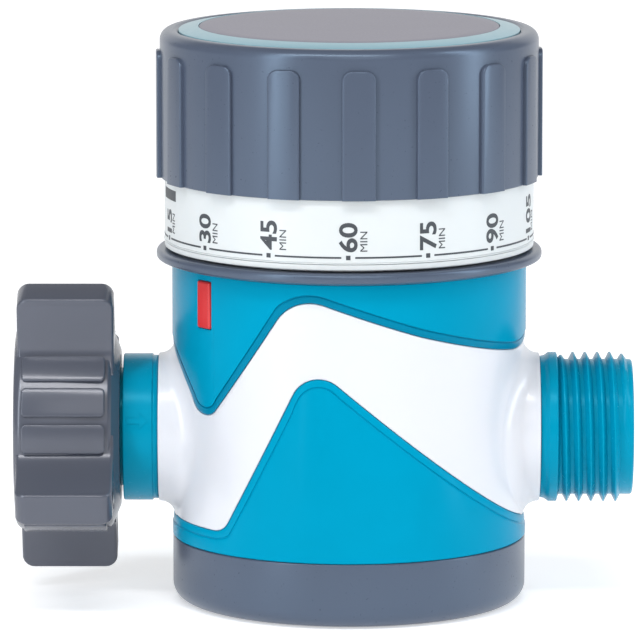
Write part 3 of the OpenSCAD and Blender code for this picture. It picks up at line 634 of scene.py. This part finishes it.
def metal(name, colour, roughness, brush, scratch=0.01):
    """Bright metal with fine marks drawn out along one axis and a cloudy change in its gloss."""
    material = bpy.data.materials.new(name)
    material.use_nodes = True
    nodes = material.node_tree.nodes
    link = material.node_tree.links.new
    shader = nodes["Principled BSDF"]
    shader.inputs["Metallic"].default_value = 1
    place = nodes.new("ShaderNodeTexCoord")
    stretch = nodes.new("ShaderNodeMapping")
    stretch.inputs["Scale"].default_value = brush
    link(place.outputs["Object"], stretch.inputs["Vector"])
    marks = nodes.new("ShaderNodeTexNoise")
    marks.inputs["Scale"].default_value = 1 / (0.5 * MM)
    marks.inputs["Detail"].default_value = 5
    link(stretch.outputs["Vector"], marks.inputs["Vector"])
    shade = nodes.new("ShaderNodeMix")
    shade.data_type = "RGBA"
    shade.inputs["A"].default_value = (*(c * 0.82 for c in colour), 1)
    shade.inputs["B"].default_value = (*colour, 1)
    link(marks.outputs["Fac"], shade.inputs["Factor"])
    link(shade.outputs["Result"], shader.inputs["Base Color"])
    gloss = nodes.new("ShaderNodeMapRange")
    gloss.inputs["To Min"].default_value = roughness * 0.7
    gloss.inputs["To Max"].default_value = roughness * 1.3
    link(marks.outputs["Fac"], gloss.inputs["Value"])
    link(gloss.outputs["Result"], shader.inputs["Roughness"])
    relief = nodes.new("ShaderNodeBump")
    relief.inputs["Distance"].default_value = scratch * MM
    link(marks.outputs["Fac"], relief.inputs["Height"])
    link(relief.outputs["Normal"], shader.inputs["Normal"])
    return material


steel = metal("bright_steel", (0.58, 0.59, 0.6), 0.3, (1, 1, 0.15))
slate = plastic("slate_satin", (0.068, 0.083, 0.12), 0.29, grain=0.45, mottle=0.05, depth=0.008, shine=0.65,
                tint=(0.6, 0.8, 1))
slate_nut = plastic("slate_gloss", (0.073, 0.08, 0.104), 0.24, grain=0.45, mottle=0.05, depth=0.003,
                    shine=0.7, tint=(0.95, 0.95, 1))
rubber = plastic("black_rubber", (0.03, 0.03, 0.032), 0.62, grain=0.35, mottle=0.15, depth=0.03)

bpy.ops.object.select_all(action="DESELECT")
bpy.ops.mesh.primitive_grid_add(x_subdivisions=20, y_subdivisions=20, size=16.4 * MM)
strainer = bpy.context.object
pick(strainer, "VERT", lambda x, y, z: math.hypot(x, y) > SCREEN_RADIUS)
bpy.ops.mesh.delete(type="VERT")
bpy.ops.object.mode_set(mode="OBJECT")
for vertex in strainer.data.vertices:
    vertex.co.z = 1.6 * MM * (1 - (math.hypot(vertex.co.x, vertex.co.y) / (SCREEN_RADIUS * MM)) ** 2)
weave = strainer.modifiers.new("weave", "WIREFRAME")
weave.thickness = WIRE * MM
weave.use_even_offset = False
only(strainer)
bpy.ops.object.modifier_apply(modifier=weave.name)
screen_rim = turned("screen_rim", rounded([(7.2, 0, 0.1), (11.2, 0, 0.15), (11.2, 0.4, 0.15), (7.9, 0.4, 0.1),
                                           (7.7, -0.2, 0)]))
strainer = joined("wire_strainer", screen_rim, strainer)
on_pipe(strainer, -SPIGOT_END - 0.42)
dressed(strainer, steel, "casing", "steel", "inlet_strainer")

washer = turned("flat_washer", rounded([(8.3, 0, 0.4), (12.5, 0, 0.4), (12.5, 2.8, 0.4), (8.3, 2.8, 0.4)]))
on_pipe(washer, -SPIGOT_END - 3.24)
dressed(washer, rubber, "casing", "black_rubber", "hose_washer")

ring = turned("nut_ring", rounded([
    (12.8, 15.2, 0), (12.8, 9.9, 0), (13.7, 9.9, 0), (13.7, 0.9, 0), (14.3, 0, 0.3), (RING_RADIUS, 0, 1.6),
    (RING_RADIUS, 8, 0), (RING_RADIUS - 0.35, 17, 0.5), (17.5, 17.5, 0.3), (14.1, 18.9, 0.4),
    (10.7, 18.9, 0.2), (10.7, 14.6, 0.2), (12.8, 14.6, 0.2)]), segments=192)
inner_thread = hose_ridge("nut_thread", 13.72, 12.5, 3, inside=True)
only(inner_thread)
inner_thread.location.z = 0.9 * MM
bpy.ops.object.transform_apply(location=True, rotation=True, scale=True)

lobe_side = rounded([
    (LOBE_ROOT, LOBE_FOOT, 0), (LOBE_REACH, LOBE_FOOT, 2.2), (LOBE_REACH, LOBE_HEAD, 2.2),
    (LOBE_ROOT, LOBE_HEAD, 0)], steps=8)
bpy.ops.object.select_all(action="DESELECT")
bpy.ops.mesh.primitive_circle_add(vertices=len(lobe_side), radius=1, fill_type="NGON")
lobe = bpy.context.object
for vertex, (x, z) in zip(lobe.data.vertices, lobe_side):
    vertex.co = (x * MM, -LOBE_HALF * MM, z * MM)
bpy.ops.object.mode_set(mode="EDIT")
bpy.ops.mesh.select_all(action="SELECT")
bpy.ops.mesh.extrude_region_move(TRANSFORM_OT_translate={"value": (0, 2 * LOBE_HALF * MM, 0)})
bpy.ops.mesh.select_all(action="SELECT")
bpy.ops.mesh.normals_make_consistent(inside=False)
for rim in (-LOBE_HALF, LOBE_HALF):
    pick(lobe, "EDGE", lambda x, y, z: abs(y - rim) < 0.01)
    bpy.ops.mesh.bevel(offset=0.6 * MM, segments=4, affect="EDGES")
bpy.ops.object.mode_set(mode="OBJECT")
sliced(lobe, 0.7)
for vertex in lobe.data.vertices:
    reach = vertex.co.x / MM
    half_width = 2.85 + 0.115 * (LOBE_REACH - reach) + 4 * math.exp((LOBE_ROOT - reach) / 1.6)
    vertex.co.y += math.copysign((half_width - LOBE_HALF) * MM, vertex.co.y)
core = block("core", (20, -1.7, 6), (26, 1.7, 30))
bpy.ops.object.mode_set(mode="OBJECT")
cut(lobe, core)

pad_half = RING_RADIUS * PAD_SPAN / 2
pad = block("pad", (-pad_half, -0.55, PAD_FOOT), (pad_half, 1.2, PAD_HEAD))
pick(pad, "EDGE", lambda x, y, z: abs(x) > pad_half - 0.01 and not PAD_FOOT + 1 < z < PAD_HEAD - 1)
bpy.ops.mesh.bevel(offset=0.9 * MM, segments=4, affect="EDGES")
pick(pad, "EDGE", lambda x, y, z: y < -0.5)
bpy.ops.mesh.bevel(offset=0.28 * MM, segments=3, affect="EDGES")
bpy.ops.object.mode_set(mode="OBJECT")
sliced(pad, 0.8)
wrapped(pad, RING_RADIUS)
only(pad)
pad.rotation_euler = (0, 0, math.pi / 2)
bpy.ops.object.transform_apply(location=True, rotation=True, scale=True)


def arranged(pattern, radius, turns):
    """Copies of a piece, each with its own mesh, set out round the Z axis at a radius in millimetres."""
    copies = []
    for turn in turns:
        only(pattern)
        bpy.ops.object.duplicate()
        copy = bpy.context.object
        copy.location = (radius * math.cos(turn) * MM, radius * math.sin(turn) * MM, 0)
        copy.rotation_euler = (0, 0, turn)
        bpy.ops.object.transform_apply(location=True, rotation=True, scale=True)
        copies.append(copy)
    bpy.data.objects.remove(pattern)
    return copies


lobe_turns = [math.pi + LOBE_TURN + math.pi / 2 * k for k in range(4)]
pad_turns = [turn + math.radians(45 + PAD_STEP * j) for turn in lobe_turns for j in (-1, 0, 1)]
nut = joined("swivel_nut", ring, inner_thread, *arranged(lobe, 0, lobe_turns), *arranged(pad, 0, pad_turns))
on_pipe(nut, -NUT_END)
dressed(nut, slate_nut, "nut", "slate_plastic", "coupling_nut")


# ---- Base cap
# A slate cup closes the bottom of the casing. Four screws go up through its floor, their heads sunk.
CAP_RADIUS = 31.8
CAP_HEIGHT = 11.66
CAP_SCREW_RADIUS = 24
CAP_FLOOR = 2.5

base_cap = turned("base_cup", rounded([
    (0.4, 0, 0), (CAP_RADIUS, 0, 3), (CAP_RADIUS, CAP_HEIGHT, 0.25), (CASING_INSIDE, CAP_HEIGHT, 0),
    (CASING_INSIDE, CAP_FLOOR, 0.5), (0.4, CAP_FLOOR, 0)], steps=8), segments=192)
pick(base_cap, "VERT", lambda x, y, z: math.hypot(x, y) < 1)
bpy.ops.mesh.merge(type="CENTER")
bpy.ops.object.mode_set(mode="OBJECT")


cap_turns = [math.radians(turn) for turn in (55, 125, 235, 305)]
post = turned("post", [(4.2, 0.5), (4.2, CAP_HEIGHT - 0.3), (3.9, CAP_HEIGHT)], 64, cap=True)
cut(base_cap, joined("posts", *arranged(post, CAP_SCREW_RADIUS, cap_turns)), "UNION")
recess = turned("recess", [(3.4, -0.2), (3.1, 0.3), (3.1, 5), (1.55, 5), (1.55, 13)], 64, cap=True)
cut(base_cap, joined("recesses", *arranged(recess, CAP_SCREW_RADIUS, cap_turns)))
dressed(base_cap, slate, "casing", "slate_plastic", "base_cap")


# ---- Bezel ring
# A slate ring with a rounded lip lies on the casing's top face and hides the joint under the dial.
BEZEL_INSIDE = 30.3
BEZEL_RADIUS = 34.6
BEZEL_FOOT = 61.75
BEZEL_TOP = 63.9

bezel = turned("bezel_lip", rounded([
    (BEZEL_INSIDE, BEZEL_FOOT, 0.1), (33, BEZEL_FOOT, 0), (BEZEL_RADIUS, BEZEL_FOOT + 0.55, 0.5),
    (BEZEL_RADIUS, BEZEL_TOP, 0.75), (BEZEL_INSIDE, BEZEL_TOP, 0.1)], steps=7), segments=192)
dressed(bezel, slate, "casing", "slate_plastic", "bezel_ring")


# ---- Dial scale
# A thin white drum that turns with the knob, with a small bead at its foot. The scale is pad printed in
# dark grey: a line with a tick for each quarter hour, and the minutes reading upwards.
DRUM_RADIUS = 33.15
DRUM_INSIDE = 31.95
DRUM_FOOT = 64.4
DRUM_HEAD = 78.15
BEAD = 65.6
KNOB_FOOT = 76.85
SCALE_LINE = 66.7
TICK = 0.8
PRINT_PROUD = 0.03
QUARTER = 25                # degrees the dial turns in a quarter of an hour
HOUR_TURN = -0.5            # degrees round from the front to the hour's tick
OFF_BAR = (13.2, 73.6, 75.5, -75.4)

drum_white = plastic("drum_white", (0.64, 0.665, 0.665), 0.36, grain=1.2, mottle=0.012, depth=0.005,
                     coat=0.15, through=0.08)
ink = plastic("dark_ink", (0.045, 0.052, 0.06), 0.5, grain=0.4, mottle=0.12, depth=0.002)

drum = turned("scale_drum", rounded([
    (DRUM_INSIDE, DRUM_FOOT, 0.1), (DRUM_RADIUS, DRUM_FOOT, 0.2), (DRUM_RADIUS, BEAD - 0.22, 0),
    (DRUM_RADIUS - 0.3, BEAD - 0.12, 0), (DRUM_RADIUS + 0.12, BEAD - 0.06, 0.04),
    (DRUM_RADIUS + 0.12, BEAD + 0.1, 0.05), (DRUM_RADIUS - 0.1, BEAD + 0.15, 0),
    (DRUM_RADIUS, BEAD + 0.22, 0), (DRUM_RADIUS, DRUM_HEAD, 0), (DRUM_INSIDE, DRUM_HEAD, 0.1)]),
    segments=240)
dressed(drum, drum_white, "dial", "white_plastic", "dial_scale")


def legend(words, cap_height, turn, foot, bold, stretch):
    """Printed words that read upwards, a cap_height tall and stretched along the line. turn is where their
    feet stand, in degrees round from the front, and foot the height where they begin."""
    bpy.ops.object.select_all(action="DESELECT")
    bpy.ops.object.text_add(rotation=(math.pi / 2, -math.pi / 2, 0))
    text = bpy.context.object
    text.data.body = words
    text.data.size = cap_height / 0.73 * MM
    text.data.offset = bold * MM
    text.data.extrude = 0.1 * MM
    text.data.resolution_u = 5
    bpy.ops.object.convert(target="MESH")
    bpy.ops.object.transform_apply(location=True, rotation=True, scale=True)
    low = min(vertex.co.z for vertex in text.data.vertices)
    for vertex in text.data.vertices:
        vertex.co.z = foot * MM + (vertex.co.z - low) * stretch
    return on_drum(text, turn)


def on_drum(piece, turn):
    """Lays a flat print on the drum, a hair proud of it, its x = 0 at turn degrees round from the front."""
    bpy.ops.object.mode_set(mode="EDIT")
    bpy.ops.mesh.select_all(action="SELECT")
    bpy.ops.mesh.remove_doubles(threshold=1e-7)
    bpy.ops.object.mode_set(mode="OBJECT")
    out = min(vertex.co.y for vertex in piece.data.vertices)
    for vertex in piece.data.vertices:
        vertex.co.y = -PRINT_PROUD * MM if vertex.co.y - out < 1e-6 else 0.1 * MM
    if max(abs(vertex.co.x) for vertex in piece.data.vertices) > 1 * MM:
        sliced(piece, 1)
    wrapped(piece, DRUM_RADIUS, math.radians(turn))
    return piece


def bar(width, low, high, turn):
    """A printed bar, width degrees wide."""
    half = math.radians(width / 2) * DRUM_RADIUS
    piece = block("bar", (-half, -0.1, low), (half, 0.1, high))
    bpy.ops.object.mode_set(mode="OBJECT")
    return on_drum(piece, turn)


prints = []
for step in range(-4, 5):
    middle = HOUR_TURN + QUARTER * step
    minutes = 60 + 15 * step
    prints.append(bar(math.degrees(TICK / DRUM_RADIUS), SCALE_LINE - TICK / 2, SCALE_LINE + TICK / 2, middle))
    prints.append(bar(QUARTER - 4.2, SCALE_LINE - 0.16, SCALE_LINE + 0.16, middle + QUARTER / 2))
    prints.append(legend(str(minutes) if minutes else "OFF", 3.2, middle + 2.6, 67.7, 0.1, 1.22))
    if minutes:
        prints.append(legend("MIN", 1.35, middle + 5.8, 67.8, 0, 1.15))
prints.append(bar(*OFF_BAR))
printing = joined("scale_printing", *prints)
dressed(printing, ink, "dial", "white_plastic")


# ---- Knob
# The grip is one slate moulding with a rounded rim and sixteen flat ribs, screwed to the clockwork's
# square arbor. A pale sloping ring and a mauve disc are glued into its top and hide the screw.
KNOB_RADIUS = 33.94
KNOB_TOP = 103.3
KNOB_FLOOR = 101.6
HUB_RADIUS = 5.5
HUB_FOOT = 93
SOCKET_HALF = 2.45
RIB_PROUD = 0.71
RIB_TOP = 99.7
RIB_COUNT = 16
RIB_WIDTH = 9.9             # degrees
FIRST_RIB = 2.6             # degrees round from the front
TRIM_OUTSIDE = 30.6
TRIM_INSIDE = 27
CROWN = 103.9

knob = turned("grip", rounded([
    (33.2, KNOB_FOOT, 0), (KNOB_RADIUS, KNOB_FOOT, 0.2), (KNOB_RADIUS, KNOB_TOP, 1.8),
    (TRIM_OUTSIDE + 0.9, KNOB_TOP, 0.3), (TRIM_OUTSIDE + 0.1, KNOB_TOP - 0.4, 0),
    (TRIM_OUTSIDE + 0.1, KNOB_FLOOR, 0), (3.6, KNOB_FLOOR, 0), (3.6, 100, 0), (1.55, 100, 0),
    (1.55, HUB_FOOT, 0), (HUB_RADIUS, HUB_FOOT, 0.3), (HUB_RADIUS, 99.2, 0.5),
    (31.74, 99.2, 0.5), (31.74, 78.25, 0), (33.2, 78.25, 0)], steps=8),
    segments=256)
socket = block("socket", (-SOCKET_HALF, -SOCKET_HALF, HUB_FOOT - 1), (SOCKET_HALF, SOCKET_HALF, 98.05))
bpy.ops.object.mode_set(mode="OBJECT")
cut(knob, socket)

rib_half = math.radians(RIB_WIDTH / 2) * KNOB_RADIUS
rib = block("rib", (-rib_half, -RIB_PROUD, KNOB_FOOT + 0.05), (rib_half, 1, RIB_TOP))
pick(rib, "EDGE", lambda x, y, z: abs(x) > rib_half - 0.01 and z > RIB_TOP - 0.01)
bpy.ops.mesh.bevel(offset=1.8 * MM, segments=8, affect="EDGES")
pick(rib, "EDGE", lambda x, y, z: y < -0.7 and z > KNOB_FOOT + 1)
bpy.ops.mesh.bevel(offset=0.28 * MM, segments=4, affect="EDGES")
bpy.ops.object.mode_set(mode="OBJECT")
sliced(rib, 0.6)
wrapped(rib, KNOB_RADIUS, math.radians(FIRST_RIB))
knob = joined("grip_knob", knob, *arranged(rib, 0, [math.tau * k / RIB_COUNT for k in range(RIB_COUNT)]))
dressed(knob, slate, "dial", "slate_plastic", "knob")

pale_teal = plastic("pale_teal_satin", (0.2, 0.37, 0.43), 0.3, grain=1.0, mottle=0.03, depth=0.004)
trim = turned("trim_ring", rounded([
    (TRIM_INSIDE, KNOB_FLOOR + 0.05, 0.1), (TRIM_OUTSIDE, KNOB_FLOOR + 0.05, 0.1),
    (TRIM_OUTSIDE, KNOB_TOP - 0.05, 0.2), (TRIM_INSIDE, CROWN, 0.1)]), segments=256)
dressed(trim, pale_teal, "dial", "pale_teal_plastic", "knob_trim_ring")

mauve = plastic("mauve_satin", (0.165, 0.155, 0.2), 0.36, grain=0.5, mottle=0.05, depth=0.01, shine=0.22)
disc = turned("mauve_disc", [
    (0.4, CROWN + 0.1), (5, CROWN + 0.1), (10, CROWN + 0.09), (15, CROWN + 0.07), (20, CROWN + 0.05),
    (24, CROWN + 0.02), (26.5, CROWN), (26.8, CROWN - 0.06), (26.94, CROWN - 0.2),
    (26.94, KNOB_FLOOR + 0.05), (0.4, KNOB_FLOOR + 0.05)], segments=256)
pick(disc, "VERT", lambda x, y, z: math.hypot(x, y) < 1 and z > 103)
bpy.ops.mesh.merge(type="CENTER")
pick(disc, "VERT", lambda x, y, z: math.hypot(x, y) < 1 and z < 102)
bpy.ops.mesh.merge(type="CENTER")
bpy.ops.object.mode_set(mode="OBJECT")
dressed(disc, mauve, "dial", "mauve_plastic", "knob_disc")


# ---- Screws, valve and clockwork
# Bought-in and stamped parts keep the frame's own meshes: zinc-plated screws, rubber seals, acetal
# valve discs, brass plates and wheels, and a blued spring. Each gets its own finish here.
brass = metal("brushed_brass", (0.70, 0.50, 0.20), 0.28, (1, 0.12, 1))
blued = metal("blued_spring", (0.10, 0.13, 0.22), 0.25, (1, 1, 0.1))
acetal = plastic("acetal", (0.74, 0.75, 0.72), 0.35, grain=0.6, mottle=0.02, depth=0.01, through=0.1)
finishes = {
    steel: ("base_screws", "casing_screws", "bonnet_screws", "tray_screws", "pillar_screws", "plate_screws",
            "knob_screw", "pillars", "main_arbor", "second_pinion", "third_pinion", "escape_pinion",
            "spring_post", "pallet_arbor", "pallet_pins"),
    brass: ("lower_plate", "upper_plate", "main_wheel", "second_wheel", "third_wheel", "escape_wheel",
            "pallet_lever"),
    blued: ("mainspring",),
    rubber: ("seat_gasket", "spindle_seals", "bonnet_seal"),
    acetal: ("rotor_disc", "stator_disc", "valve_spindle"),
    white: ("bonnet", "movement_tray", "movement_cover"),
}
for material, names in finishes.items():
    for name in names:
        mesh = frame["nodes"][name].data
        mesh.materials.clear()
        mesh.materials.append(material)
